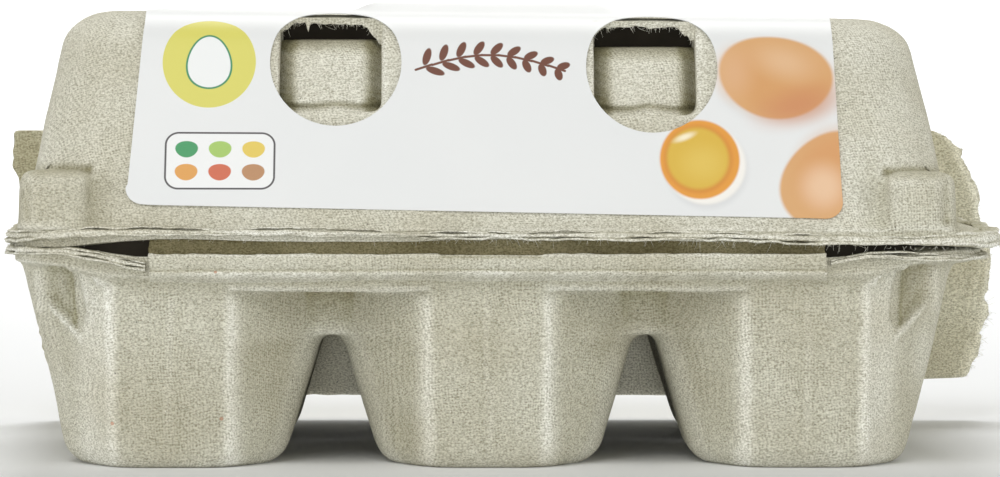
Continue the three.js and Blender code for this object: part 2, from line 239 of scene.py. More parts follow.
def feed(tree, node, links):
    # a link is a socket, or a node whose first open output is meant; anything else is a value
    for socket, value in links.items():
        if isinstance(value, bpy.types.Node):
            value = next(port for port in value.outputs if port.enabled)
        if isinstance(value, bpy.types.NodeSocket):
            tree.links.new(value, node.inputs[socket])
        else:
            node.inputs[socket].default_value = value
    return node


def addNode(tree, kind, links=None, **settings):
    node = tree.nodes.new("ShaderNode" + kind)
    for key, value in settings.items():
        setattr(node, key, value)
    return feed(tree, node, links or {})


def newMaterial(name, roughness, specular=0.5, ior=1.5):
    material = bpy.data.materials.new(name)
    material.use_nodes = True
    shader = material.node_tree.nodes["Principled BSDF"]
    feed(material.node_tree, shader, {"Roughness": roughness, "Specular IOR Level": specular, "IOR": ior})
    return material, shader


# Recycled paper pulp, sucked onto a wire mould and dried: dull, a little fuzzy, full of fine grit,
# with the print of the mesh in patches, flecks of ink and a few lighter fibres
pulpLook = {
    "lightColour": "#eae9dc",
    "darkColour": "#dad7c6",
    "gritColour": "#858069",
    "darkFleck": "#45433a",
    "lightFleck": "#f6f4ea",
    "patchSize": 16.0,      # mm, of the slow change of colour
    "gritSize": 0.3,        # mm, of the lumps of fibre
    "fibreWay": (0.8, 0.9, 1.25),      # the lumps are stretched a little, as fibres lie
    "gritRange": (0.62, 0.31, 0.8),    # heights from which it darkens, to which, and by how much
    "wirePitch": 0.68,      # mm, between the wires of the mould
    "wireWays": ((0.62, 0.6, 0.78), (0.78, -0.05, -0.62)),
    "wireWander": 2.6,      # mm, how far the wires stray
    "wireClear": (0.03, 0.27),         # how strong their print is where it is rubbed out, and clear
    "fleckCover": 0.7,
    "paintedShadeShare": (0.22, 0.23, 0.29),   # how far painted light makes ridges lighter, and painted shade makes creases darker and browner
    "roughness": 0.95,
    "specular": 0.2,
    "ior": 1.47,
    "bumpDepth": 0.3,       # mm
    "bumpStrength": 0.7,
}
# Flecks: mm between the cells that may hold one, its half size in mm, and for each colour the
# share of the cells that have it
pulpFlecks = (
    {"spacing": 1.7, "half": 0.13, "kinds": (("darkFleck", 0.0, 0.3), ("lightFleck", 0.7, 1.0))},
    {"spacing": 9.0, "half": 0.3,
     "kinds": (("#b98468", 0.0, 0.2), ("#6f7fa8", 0.2, 0.26), ("#c9b94e", 0.26, 0.31))},
)


def mouldedPulp(name, tint="#ffffff"):
    look = pulpLook
    material, shader = newMaterial(name, look["roughness"], look["specular"], look["ior"])
    tree = material.node_tree
    place = addNode(tree, "TexCoord").outputs["Object"]
    inMm = addNode(tree, "VectorMath", {0: place, 1: (1 / mm,) * 3}, operation="MULTIPLY")
    # slow patches in the colour
    patches = addNode(tree, "TexNoise", {"Vector": inMm, "Scale": 1 / look["patchSize"], "Detail": 1.0})
    share = addNode(tree, "MapRange", {"Value": patches, "From Min": 0.35, "From Max": 0.65})
    dark, light = linearColour(look["darkColour"]), linearColour(look["lightColour"])
    ground = addNode(tree, "Mix", {0: share, 6: dark, 7: light}, data_type="RGBA")
    # grit
    stretched = addNode(tree, "VectorMath", {0: inMm, 1: look["fibreWay"]}, operation="MULTIPLY")
    grit = addNode(tree, "TexNoise", {
        "Vector": stretched, "Scale": 1 / look["gritSize"], "Detail": 2.0, "Roughness": 0.7})
    # two crossing rows of wires, which wander; their print is clear here and rubbed out there
    stray = addNode(tree, "TexNoise", {"Vector": inMm, "Scale": 0.11, "Detail": 0.0}).outputs["Color"]
    shift = addNode(tree, "VectorMath", {0: stray, 1: (look["wireWander"],) * 3, 2: inMm},
                    operation="MULTIPLY_ADD")
    waves = []
    for way in look["wireWays"]:
        along = addNode(tree, "VectorMath", {0: shift, 1: way}, operation="DOT_PRODUCT")
        angle = addNode(tree, "Math", {0: along, 1: 2 * math.pi / look["wirePitch"]}, operation="MULTIPLY")
        waves.append(addNode(tree, "Math", {0: angle}, operation="SINE"))
    weave = addNode(tree, "Math", {0: waves[0], 1: waves[1]}, operation="MULTIPLY")
    rubbedTo, clearTo = look["wireClear"]
    clear = addNode(tree, "MapRange", {
        "Value": addNode(tree, "SeparateColor", {0: stray}), "From Min": 0.38, "From Max": 0.62,
        "To Min": rubbedTo, "To Max": clearTo})
    wirePrint = addNode(tree, "Math", {0: weave, 1: clear}, operation="MULTIPLY")
    # one height for both: low places are darker
    height = addNode(tree, "Math", {0: wirePrint, 1: -0.3, 2: grit}, operation="MULTIPLY_ADD")
    highest, lowest, darkest = look["gritRange"]
    low = addNode(tree, "MapRange", {
        "Value": height, "From Min": highest, "From Max": lowest, "To Min": 0.0, "To Max": darkest})
    colour = addNode(tree, "Mix", {0: low, 6: ground.outputs[2], 7: linearColour(look["gritColour"])},
                     data_type="RGBA")
    for fleck in pulpFlecks:
        cells = addNode(tree, "TexVoronoi", {"Vector": inMm, "Scale": 1 / fleck["spacing"]})
        near = addNode(tree, "Math", {0: cells, 1: fleck["half"] / fleck["spacing"]}, operation="LESS_THAN")
        pick = addNode(tree, "SeparateColor", {0: cells.outputs["Color"]})
        for kind, least, most in fleck["kinds"]:
            chosen = addNode(tree, "Math", {0: pick, 1: (least + most) / 2, 2: (most - least) / 2},
                             operation="COMPARE")
            both = addNode(tree, "Math", {0: near, 1: chosen}, operation="MULTIPLY")
            faint = addNode(tree, "Math", {0: both, 1: look["fleckCover"]}, operation="MULTIPLY")
            colour = addNode(tree, "Mix", {0: faint, 6: colour, 7: linearColour(look.get(kind, kind))},
                             data_type="RGBA")
    tinted = addNode(tree, "Mix", {0: 1.0, 6: colour, 7: linearColour(tint)},
                     data_type="RGBA", blend_type="MULTIPLY")
    # painted light and shade given at each piece's points, lighter on ridges and lit faces, darker in creases
    # and shaded hollows; a few real rubbed streaks ride on it too
    wornAndShaded = addNode(tree, "Attribute", attribute_name="pulpShadeAndWear").outputs["Fac"]
    tone = addNode(tree, "VectorMath", {0: wornAndShaded, 1: look["paintedShadeShare"], 2: (1.0,) * 3},
                   operation="MULTIPLY_ADD")
    toned = addNode(tree, "VectorMath", {0: tinted, 1: tone}, operation="MULTIPLY")
    bump = addNode(tree, "Bump", {
        "Strength": look["bumpStrength"], "Distance": look["bumpDepth"] * mm, "Height": height})
    feed(tree, shader, {"Base Color": toned, "Normal": bump})
    return material


def darkInside(name):
    # painted shade: a near-black pulp for the inside of the shut carton, where no light comes
    material, shader = newMaterial(name, 1.0, specular=0.0)
    tree = material.node_tree
    place = addNode(tree, "TexCoord").outputs["Object"]
    mottle = addNode(tree, "TexNoise", {"Vector": place, "Scale": 300.0, "Detail": 2.0})
    dark = addNode(tree, "Mix", {0: mottle, 6: linearColour("#2f2c27"), 7: linearColour("#3b3731")},
                   data_type="RGBA")
    feed(tree, shader, {"Base Color": dark})
    return material


# Wood-free paper, coated and printed: white, smooth, with a faint sheen
paperLook = {
    "white": "#e9ebed",
    "shade": "#e3e6e9",
    "roughness": 0.42,
    "ior": 1.5,
}
# The print, from the bottom up: each shape has its middle, its half sizes and its turn, all in mm
# and degrees on the flat label, how soft its edge is, and how strongly it covers; an oval may be
# slimmer at one end, and a shape with a corner is a bar
printShapes = []


def printShape(colour, middle, half, turn=0.0, soft=0.06, cover=1.0, taper=0.0, corner=None):
    printShapes.append({"colour": colour, "middle": middle, "half": half, "turn": turn, "soft": soft,
                        "cover": cover, "taper": taper, "corner": corner})


def printSun(middle):
    # a yellow disc with a white egg in a green line
    printShape("#d9d468", middle, (7.3, 7.9))
    printShape("#2f8a62", middle, (3.6, 4.7), taper=0.16)
    printShape("#eef1f3", middle, (3.3, 4.4), taper=0.16)


def printSprig(start):
    # a curved brown twig with pairs of leaves
    brown = "#6b3a26"
    for k in range(9):
        x = start[0] + 2.6 * k
        y = start[1] + 2.2 * math.sin(k / 8 * math.pi)
        rise = 27.5 * math.cos(k / 8 * math.pi)
        printShape(brown, (x, y), (1.55, 0.2), turn=rise * 0.75, corner=0.2)
        for side in (-1, 1):
            turn = rise + side * 48
            reach = 1.9 * (1 - 0.05 * k)
            leaf = (x + reach * math.cos(math.radians(turn)), y + reach * math.sin(math.radians(turn)))
            printShape(brown, leaf, (1.55 - 0.06 * k, 0.62), turn=turn)


def printEggBox(middle):
    # six little eggs in a rounded frame
    printShape("#4a474b", middle, (8.6, 4.9), corner=2.2)
    printShape("#eff1f3", middle, (8.3, 4.6), corner=1.9)
    for k, colour in enumerate(("#3f9a63", "#a5c968", "#e3c95c", "#dfa152", "#cf6a4b", "#b98a62")):
        column, row = k % 3, k // 3
        at = (middle[0] + 5.2 * (column - 1), middle[1] + 1.95 - 3.9 * row)
        printShape(colour, at, (1.75, 1.4), taper=-0.12)


def printEggs():
    # a whole egg, a yolk, and an egg that runs off the corner
    printShape("#c9cacd", (45.4, 20.6), (8.0, 4.5), soft=1.6, cover=0.35)
    printShape("#d9a873", (45.0, 23.6), (8.9, 7.3), turn=-10, soft=0.35, taper=-0.10)
    printShape("#d39a5f", (45.6, 23.0), (8.0, 6.2), turn=-14, soft=2.6, cover=0.75)
    printShape("#c97f5a", (48.6, 18.6), (5.4, 2.6), turn=18, soft=2.4, cover=0.55)
    printShape("#e4be96", (46.5, 26.4), (4.2, 2.5), turn=-20, soft=2.4, cover=0.75)
    printShape("#e0b48c", (38.6, 24.4), (2.4, 3.6), soft=2.2, cover=0.6)
    printShape("#d9a873", (53.0, 5.6), (7.1, 9.0), turn=-24, soft=0.35, taper=0.12)
    printShape("#d79a63", (54.0, 7.4), (5.6, 6.8), turn=-24, soft=2.6, cover=0.7)
    printShape("#ecc9a8", (52.0, 4.4), (3.0, 3.4), soft=2.2, cover=0.85)
    printShape("#c3c4c8", (33.9, 7.6), (6.3, 6.9), soft=0.9, cover=0.5)
    printShape("#f4f2ee", (33.7, 8.2), (6.3, 6.9), soft=0.4)
    printShape("#e39b37", (32.9, 9.1), (6.2, 6.9), soft=0.25)
    printShape("#cd7d26", (32.7, 9.2), (5.3, 5.9), soft=0.5, cover=0.65)
    printShape("#d9b440", (32.6, 9.3), (4.8, 5.4), soft=0.5)
    printShape("#e4c862", (33.4, 8.4), (2.8, 2.6), soft=2.2, cover=0.6)
    printShape("#fbf3d9", (30.6, 13.0), (1.5, 0.5), turn=24, soft=0.4, cover=0.9)


def coatedPaper(name):
    look = paperLook
    material, shader = newMaterial(name, look["roughness"], ior=look["ior"])
    tree = material.node_tree
    place = addNode(tree, "Attribute", attribute_name="labelPlace").outputs["Vector"]
    patches = addNode(tree, "TexNoise", {"Vector": place, "Scale": 0.05, "Detail": 1.0})
    white, shade = linearColour(look["white"]), linearColour(look["shade"])
    colour = addNode(tree, "Mix", {0: patches, 6: white, 7: shade}, data_type="RGBA")
    printEggs()
    printSun((-43.6, 25.6))
    printSprig((-10.0, 25.0))
    printEggBox((-41.6, 8.6))
    for shape in printShapes:
        turn = -math.radians(shape["turn"])
        cosine, sine = math.cos(turn), math.sin(turn)
        (middleX, middleY), halves = shape["middle"], shape["half"]
        # the place along the shape's two axes, counted in half sizes from its middle
        axes = []
        for half, (wayX, wayY) in zip(halves, ((cosine, -sine), (sine, cosine))):
            along = addNode(tree, "VectorMath", {0: place, 1: (wayX / half, wayY / half, 0)},
                            operation="DOT_PRODUCT")
            start = (wayX * middleX + wayY * middleY) / half
            axes.append(addNode(tree, "Math", {0: along, 1: -start}, operation="ADD"))
        scale, back = min(halves), -min(halves)
        if shape["taper"]:
            # one end of an egg is slimmer
            swell = addNode(tree, "Math", {0: axes[1], 1: shape["taper"], 2: 1.0}, operation="MULTIPLY_ADD")
            axes[0] = addNode(tree, "Math", {0: axes[0], 1: swell}, operation="MULTIPLY")
        if shape["corner"]:
            # how far it lies past a bar's straight sides
            scale, back = 1.0, -shape["corner"]
            for k, half in enumerate(halves):
                size = addNode(tree, "Math", {0: axes[k]}, operation="ABSOLUTE")
                past = addNode(tree, "Math", {0: size, 1: half, 2: shape["corner"] - half},
                               operation="MULTIPLY_ADD")
                axes[k] = addNode(tree, "Math", {0: past, 1: 0.0}, operation="MAXIMUM")
        pair = addNode(tree, "CombineXYZ", {0: axes[0], 1: axes[1]})
        reach = addNode(tree, "VectorMath", {0: pair}, operation="LENGTH")
        distance = addNode(tree, "Math", {0: reach, 1: scale, 2: back}, operation="MULTIPLY_ADD")
        inside = addNode(tree, "MapRange", {
            "Value": distance, "From Min": -shape["soft"], "From Max": shape["soft"],
            "To Min": shape["cover"], "To Max": 0.0}, interpolation_type="SMOOTHSTEP")
        colour = addNode(tree, "Mix", {0: inside, 6: colour, 7: linearColour(shape["colour"])},
                         data_type="RGBA")
    grain = addNode(tree, "TexNoise", {"Vector": place, "Scale": 1.5, "Detail": 2.0})
    bump = addNode(tree, "Bump", {"Strength": 0.15, "Distance": 0.02 * mm, "Height": grain})
    feed(tree, shader, {"Base Color": colour, "Normal": bump})
    return material


# Pieces

def newPiece(name, mesh, material, replaced=()):
    piece = newObject(name, mesh)
    mesh.materials.clear()
    mesh.materials.append(material)
    mesh.polygons.foreach_set("use_smooth", [True] * len(mesh.polygons))
    mesh.update()
    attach(piece, "root")
    if replaced:
        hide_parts(*replaced)
    print("piece", name, len(mesh.polygons), "faces")


def meshFrom(name, points, faces):
    mesh = bpy.data.meshes.new(name)
    mesh.from_pydata([tuple(p) for p in toFrame(points)], [], faces)
    mesh.validate()
    return mesh


def closedSheet(name, outer, inner):
    # a plate between two grids of points with rows and columns alike, the first grid outside
    rows, columns = outer.shape[:2]
    points = np.vstack([outer.reshape(-1, 3), inner.reshape(-1, 3)])
    at = np.arange(rows * columns).reshape(rows, columns)
    back = at + rows * columns
    faces = []

    def quads(a, b, c, d):
        faces.extend(np.column_stack([a.ravel(), b.ravel(), c.ravel(), d.ravel()]).tolist())

    quads(at[:-1, :-1], at[:-1, 1:], at[1:, 1:], at[1:, :-1])
    quads(back[:-1, :-1], back[1:, :-1], back[1:, 1:], back[:-1, 1:])
    quads(back[0, :-1], back[0, 1:], at[0, 1:], at[0, :-1])
    quads(at[-1, :-1], at[-1, 1:], back[-1, 1:], back[-1, :-1])
    quads(at[:-1, 0], at[1:, 0], back[1:, 0], back[:-1, 0])
    quads(back[:-1, -1], back[1:, -1], at[1:, -1], at[:-1, -1])
    return meshFrom(name, points, faces)


def remeshedNode(nodeName, voxel):
    # an even, fine mesh over a CAD node's own surface
    copy = newObject(nodeName + "Copy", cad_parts[nodeName].data.copy())
    remesh = copy.modifiers.new("even", "REMESH")
    remesh.mode = "VOXEL"
    remesh.voxel_size = voxel * mm
    graph = bpy.context.evaluated_depsgraph_get()
    mesh = bpy.data.meshes.new_from_object(copy.evaluated_get(graph))
    bpy.data.objects.remove(copy)
    return mesh


def readVectors(items, key):
    flat = np.empty(len(items) * 3, dtype=np.float32)
    items.foreach_get(key, flat)
    return flat.reshape(-1, 3).astype(float)


def meshPoints(mesh):
    return readVectors(mesh.vertices, "co") / mm - [carton["middleX"], carton["middleY"], 0]


def setPoints(mesh, points):
    mesh.vertices.foreach_set("co", toFrame(points).astype(np.float32).ravel())
    mesh.update()


def relaxed(mesh, points, passes, weight):
    # each point moves towards the middle of its neighbours, as far as its weight lets it
    edges = np.empty(len(mesh.edges) * 2, dtype=np.int32)
    mesh.edges.foreach_get("vertices", edges)
    a, b = edges.reshape(-1, 2).T
    count = len(points)
    near = np.maximum(np.bincount(a, minlength=count) + np.bincount(b, minlength=count), 1)
    for turn in range(passes):
        total = np.column_stack([
            np.bincount(a, points[b, k], count) + np.bincount(b, points[a, k], count) for k in range(3)])
        points = points + 0.5 * weight[:, None] * (total / near[:, None] - points)
    return points


def cornerFlare(x, y):
    # the rims are bent outwards at the right front corner: 1 where it is strongest
    return smoothStep(60, carton["rimHalfX"], x) * (1 - smoothStep(-20, 20, y))


def frontSag(x, y):
    # the tray's rim hangs lower along the front: 1 where it is lowest
    return np.where(y < 0, 1 - smoothStep(57, 70, np.abs(x)), 0)


def drawnBack(points, inset, share, flare):
    # nothing stands nearer to the rim's edge than the inset, where the share is 1
    radius = carton["rimRadius"]
    bent = flare * cornerFlare(points[:, 0], points[:, 1])
    flat = points[:, :2] - np.column_stack([bent, 0 * bent])
    outer = np.maximum(np.abs(flat) - [carton["rimHalfX"] - radius, carton["rimHalfY"] - radius], 0)
    reach = np.hypot(*outer.T)
    over = np.maximum(reach - radius + inset, 0) * share
    flat = flat - np.sign(flat) * outer / np.maximum(reach, 1e-6)[:, None] * over[:, None]
    return np.column_stack([flat[:, 0] + bent, flat[:, 1], points[:, 2]])


def setTone(mesh, tone):
    # the painted light and shade, with a little real wear, that the pulp's colour takes from each point
    attribute = mesh.attributes.new("pulpShadeAndWear", "FLOAT", "POINT")
    attribute.data.foreach_set("value", np.clip(tone, -2, 1.5).astype(np.float32))


def paintedShapeShade(mesh, points, spread):
    # painted light and shade: above 0 on ridges and below 0 in creases, from how far each point stands out of
    # its surroundings
    normals = readVectors(mesh.vertex_normals, "vector")
    around = relaxed(mesh, points, spread, np.ones(len(points)))
    return np.clip(((points - around) * normals).sum(axis=1) / 0.35, -1.5, 1.2)


def unevenness(points, slow, middle, fine, seed):
    return (slow * softNoise(points, 17.0, seed) + middle * softNoise(points, 5.5, seed + 1)
            + fine * softNoise(points, 1.7, seed + 2))


lidSettings = {
    "voxel": 0.62,
    "passes": 9,
    "slowWaves": 0.28,
    "middleWaves": 0.09,
    "fineWaves": 0.035,
    "grooveHeight": 46.3,
    "groove": (61.0, 62.0, 70.4, 71.8),    # mm from the middle: where it begins, is deep, and ends
}


def makeLid(material):
    look = lidSettings
    mesh = remeshedNode("lid", look["voxel"])
    points = meshPoints(mesh)
    x, y, z = points.T
    # the latch holes keep their edges, the rest is rounded as wet pulp is
    nearHole = np.zeros(len(points))
    for side in (-1, 1):
        middle = side * carton["cellPitch"] / 2
        within = (np.abs(x - middle) < carton["holeHalf"] + 1.2) & (z > carton["holeLow"] - 1.5) & (y < -20)
        nearHole = np.maximum(nearHole, within)
    points = relaxed(mesh, points, look["passes"], 1 - 0.75 * nearHole)
    setPoints(mesh, points)
    normals = readVectors(mesh.vertex_normals, "vector")
    x, y, z = points.T
    lift = unevenness(points, look["slowWaves"], look["middleWaves"], look["fineWaves"], 11)
    lift *= 1 - 0.7 * nearHole
    underLabel = smoothStep(0, 6, 55 - np.abs(x)) * smoothStep(39, 44, z) * (y < 26)
    sunk = 0.25 * smoothStep(carton["lidTop"] - 0.9, carton["lidTop"] - 0.3, z + leanDrop(x, z))
    lift -= underLabel * (0.06 + sunk + np.maximum(lift, 0))
    # the dip beside each corner foot
    lift -= 0.7 * bell(np.abs(x), 59.0, 2.2) * plateau(z, 37, 39, 44, 52) * (y < -30)
    points = points + normals * lift[:, None]
    # grooves over and beside the corner feet
    x, y, z = points.T
    front = (np.abs(y) > 38).astype(float) * np.sign(-y)
    wander = 0.25 * lineNoise(x, 3.0, 5)
    over = bell(z + leanDrop(x, z), look["grooveHeight"] + wander, 0.75) * plateau(np.abs(x), *look["groove"])
    besideRight = bell(x, 71.0, 1.0) * plateau(z, 37.6, 38.6, 45.2, 46.6)
    besideLeft = bell(x, -71.3 + 0.2 * lineNoise(z, 2.0, 6), 0.55) * plateau(z, 38, 39.5, 44, 45.5)
    points[:, 1] += front * (1.6 * over + 1.5 * besideRight + 0.55 * besideLeft)
    # the lip draws back behind its torn layers
    points = drawnBack(points, 1.5, smoothStep(37.6, 36.9, points[:, 2]), lipSettings["lid"]["flare"])
    setPoints(mesh, points)
    # painted light and shade: ridges lighter, creases and the groove over the feet darker, the whole lid a
    # little lighter. The corner blocks are darker.
    blocks = smoothStep(58, 62, np.abs(x)) * smoothStep(48, 45, z)
    setTone(mesh, paintedShapeShade(mesh, points, 8) - 0.8 * over + 0.3 - 0.7 * blocks)
    newPiece("lidShell", mesh, material, ["lid"])


traySettings = {
    "voxel": 0.72,
    "passes": 7,
    "slowWaves": 0.3,
    "middleWaves": 0.1,
    "fineWaves": 0.04,
    "ridges": (0.22, 0.5),      # mm, how far a facet's edge stands out, and the two firmer ones
    "dentFoot": (25.2, 0.95, 67.6),    # its height, its rise for each mm outwards, and from where
}


def makeTray(material):
    look = traySettings
    mesh = remeshedNode("base_tray", look["voxel"])
    points = meshPoints(mesh)
    x, y, z = points.T
    points = relaxed(mesh, points, look["passes"], 1 - 0.8 * smoothStep(2.5, 0.3, z))
    setPoints(mesh, points)
    normals = readVectors(mesh.vertex_normals, "vector")
    x, y, z = points.T
    lift = unevenness(points, look["slowWaves"], look["middleWaves"], look["fineWaves"], 21)
    lift *= smoothStep(0.4, 3.0, z)
    pitch, facet = carton["cellPitch"], carton["facetHalf"]
    outside = smoothStep(36, 38, np.abs(y))
    tone = np.zeros(len(points))
    for column in (-1, 0, 1):
        middle = column * pitch
        # a thin seam down the middle of each front facet, and firmer ridges at its edges
        seam = bell(x, middle + 0.4 * lineNoise(z, 9.0, 31 + column), 0.5) * plateau(z, 2, 5, 25, 29)
        lift += outside * 0.22 * seam
        for side in (-1, 1):
            ridge = bell(x, middle + side * (facet + 0.3), 1.0) * plateau(z, 1, 4, 28, 32)
            lift += outside * look["ridges"][column * side == 1] * ridge
            # painted highlight along the facets' edges
            tone += outside * 0.15 * ridge
    # the light edge of the ledge over each recess, and the step under it
    for side in (-1, 1):
        along = smoothStep(16.0, 14.5, np.abs(x - side * pitch / 2))
        edge, below = bell(z, carton["ledge"] + 0.45, 0.42), bell(z, carton["ledge"] - 0.8, 0.6)
        lift += outside * along * (0.55 * edge - 0.25 * below)
    # the dents at the corners: an upright trough with a firm inner edge, and a slanting lip below
    across = np.abs(x)
    here = smoothStep(30, 33, np.abs(y)) * smoothStep(58, 60, across)
    footHeight, footRise, footFrom = look["dentFoot"]
    foot = footHeight + footRise * (across - footFrom)
    slant = plateau(across, 62.8, 63.8, 67.6, 69.4)
    trough = plateau(across, 64.6, 65.6, 67.6, 69.8) * plateau(z, foot - 0.3, foot + 0.8, 30.6, 32.2)
    # each form of a dent, how far it stands out in mm, and how much lighter it is painted: painted light on
    # its lips, painted shade in the trough and along its firm edges
    for form, out, lighter in (
            (bell(z, foot - 0.9, 0.8) * slant, 0.5, 0.5),
            (trough, -0.7, -0.45),
            (bell(across, 64.7 + 0.05 * (z - 27), 0.4) * plateau(z, 21.2, 22.6, 29, 31.5), -0.25, -1.2),
            (bell(z, foot - 0.1, 0.3) * slant, -0.2, -1.0),
            (bell(across, 70.2, 0.9) * plateau(z, 23, 25, 30, 32), 0.3, 0.7)):
        lift += here * out * form
        tone += here * lighter * form
    points = points + normals * lift[:, None]
    points[:, 2] = np.maximum(points[:, 2], 0.0)
    # painted light: the faces between the cups' fronts lighter, the rest of the outside a little darker
    sideways = smoothStep(0.2, 0.45, np.abs(normals[:, 0])) * smoothStep(66, 62, np.abs(x))
    tone += outside * (1.1 * sideways - 0.3)
    # painted shade: the recesses over the channels darker and browner
    tone -= 1.4 * outside * smoothStep(27.4, 26.4, z) * smoothStep(15.5, 12.5, np.abs(across - pitch / 2))
    # the rim draws back behind its torn layers
    sagged = points[:, 2] + 1.9 * frontSag(points[:, 0], points[:, 1])
    points = drawnBack(points, 1.5, smoothStep(30.8, 31.6, sagged), lipSettings["tray"]["flare"])
    # in front the wall runs up to the rim without a step
    filled = 47.2 + 1.75 * smoothStep(30.3, 32.6, sagged)
    front = (points[:, 1] < -45.5) & (np.abs(points[:, 0]) < 66)
    share = smoothStep(66, 60, np.abs(points[:, 0])) * smoothStep(29.9, 30.5, sagged)
    wall = points[:, 1] * (1 - share) - filled * share
    points[:, 1] = np.where(front, np.minimum(points[:, 1], wall), points[:, 1])
    setPoints(mesh, points)
    # painted light and shade from the shape and the marks above, the whole tray a little darker
    setTone(mesh, paintedShapeShade(mesh, points, 8) + tone - 0.15)
    newPiece("trayShell", mesh, material, ["base_tray"])


# Torn rims: thin torn layers of pulp over one another, round the carton

def rimPath(step):
    # points, outward directions and lengths round the rim, from the middle of the front to +X
    halfX, halfY, radius = carton["rimHalfX"], carton["rimHalfY"], carton["rimRadius"]
    straightX, straightY = halfX - radius, halfY - radius
    arc = radius * math.pi / 2
    lengths = [straightX, arc, 2 * straightY, arc, 2 * straightX, arc, 2 * straightY, arc, straightX]
    total = sum(lengths)
    count = int(total / step)
    places, outward = [], []
    corners = [(straightX, -straightY, -90), (straightX, straightY, 0),
               (-straightX, straightY, 90), (-straightX, -straightY, 180)]
    starts = [(0, -halfY), (halfX, -straightY), (straightX, halfY), (-halfX, straightY), (-straightX, -halfY)]
    for k in range(count):
        s = total * k / count
        part = 0
        while s > lengths[part]:
            s -= lengths[part]
            part += 1
        if part % 2:
            cx, cy, start = corners[part // 2]
            angle = math.radians(start) + s / radius
            direction = (math.cos(angle), math.sin(angle))
            places.append((cx + radius * direction[0], cy + radius * direction[1]))
        else:
            direction = ((0, -1), (1, 0), (0, 1), (-1, 0), (0, -1))[part // 2]
            startX, startY = starts[part // 2]
            places.append((startX - direction[1] * s, startY + direction[0] * s))
        outward.append(direction)
    return np.array(places), np.array(outward), np.arange(count) * total / count


lipSettings = {
    "step": 0.48,
    "aroundCount": 12,
    "inset": 3.2,           # mm, from a lip's outer edge to its root
    # each sheet's level and half thickness as shares of the lip's thickness, and how far it stands out
    "sheets": ((-0.38, 0.17, 0.1), (0.02, 0.33, -0.15), (0.45, 0.13, -0.5)),
    # along the front: x, the height of the lip's middle and its thickness; behind, both are even
    "lid": {"name": "lidLip", "seed": 40, "flare": 5.0, "back": (35.8, 1.9), "halfOpen": 0.0,
            "front": ((-75, 36.3, 2.0), (-63, 36.9, 1.9), (-53, 37.1, 1.5), (-35, 37.1, 1.3),
                      (-15, 36.8, 1.3), (14, 36.5, 1.3), (38, 36.3, 1.3), (52, 35.9, 1.6),
                      (63, 35.6, 2.0), (72, 35.5, 2.4), (77, 36.0, 2.2))},
    "tray": {"name": "trayRim", "seed": 60, "flare": 3.2, "back": (33.2, 1.9), "halfOpen": 52.4,
             "front": ((-75, 34.0, 1.4), (-65, 34.0, 1.3), (-59, 33.0, 1.3), (-53, 31.7, 1.2),
                       (52, 32.2, 1.1), (56, 33.0, 1.1), (59, 33.4, 1.0), (66, 33.1, 1.1), (77, 33.0, 1.2))},
}


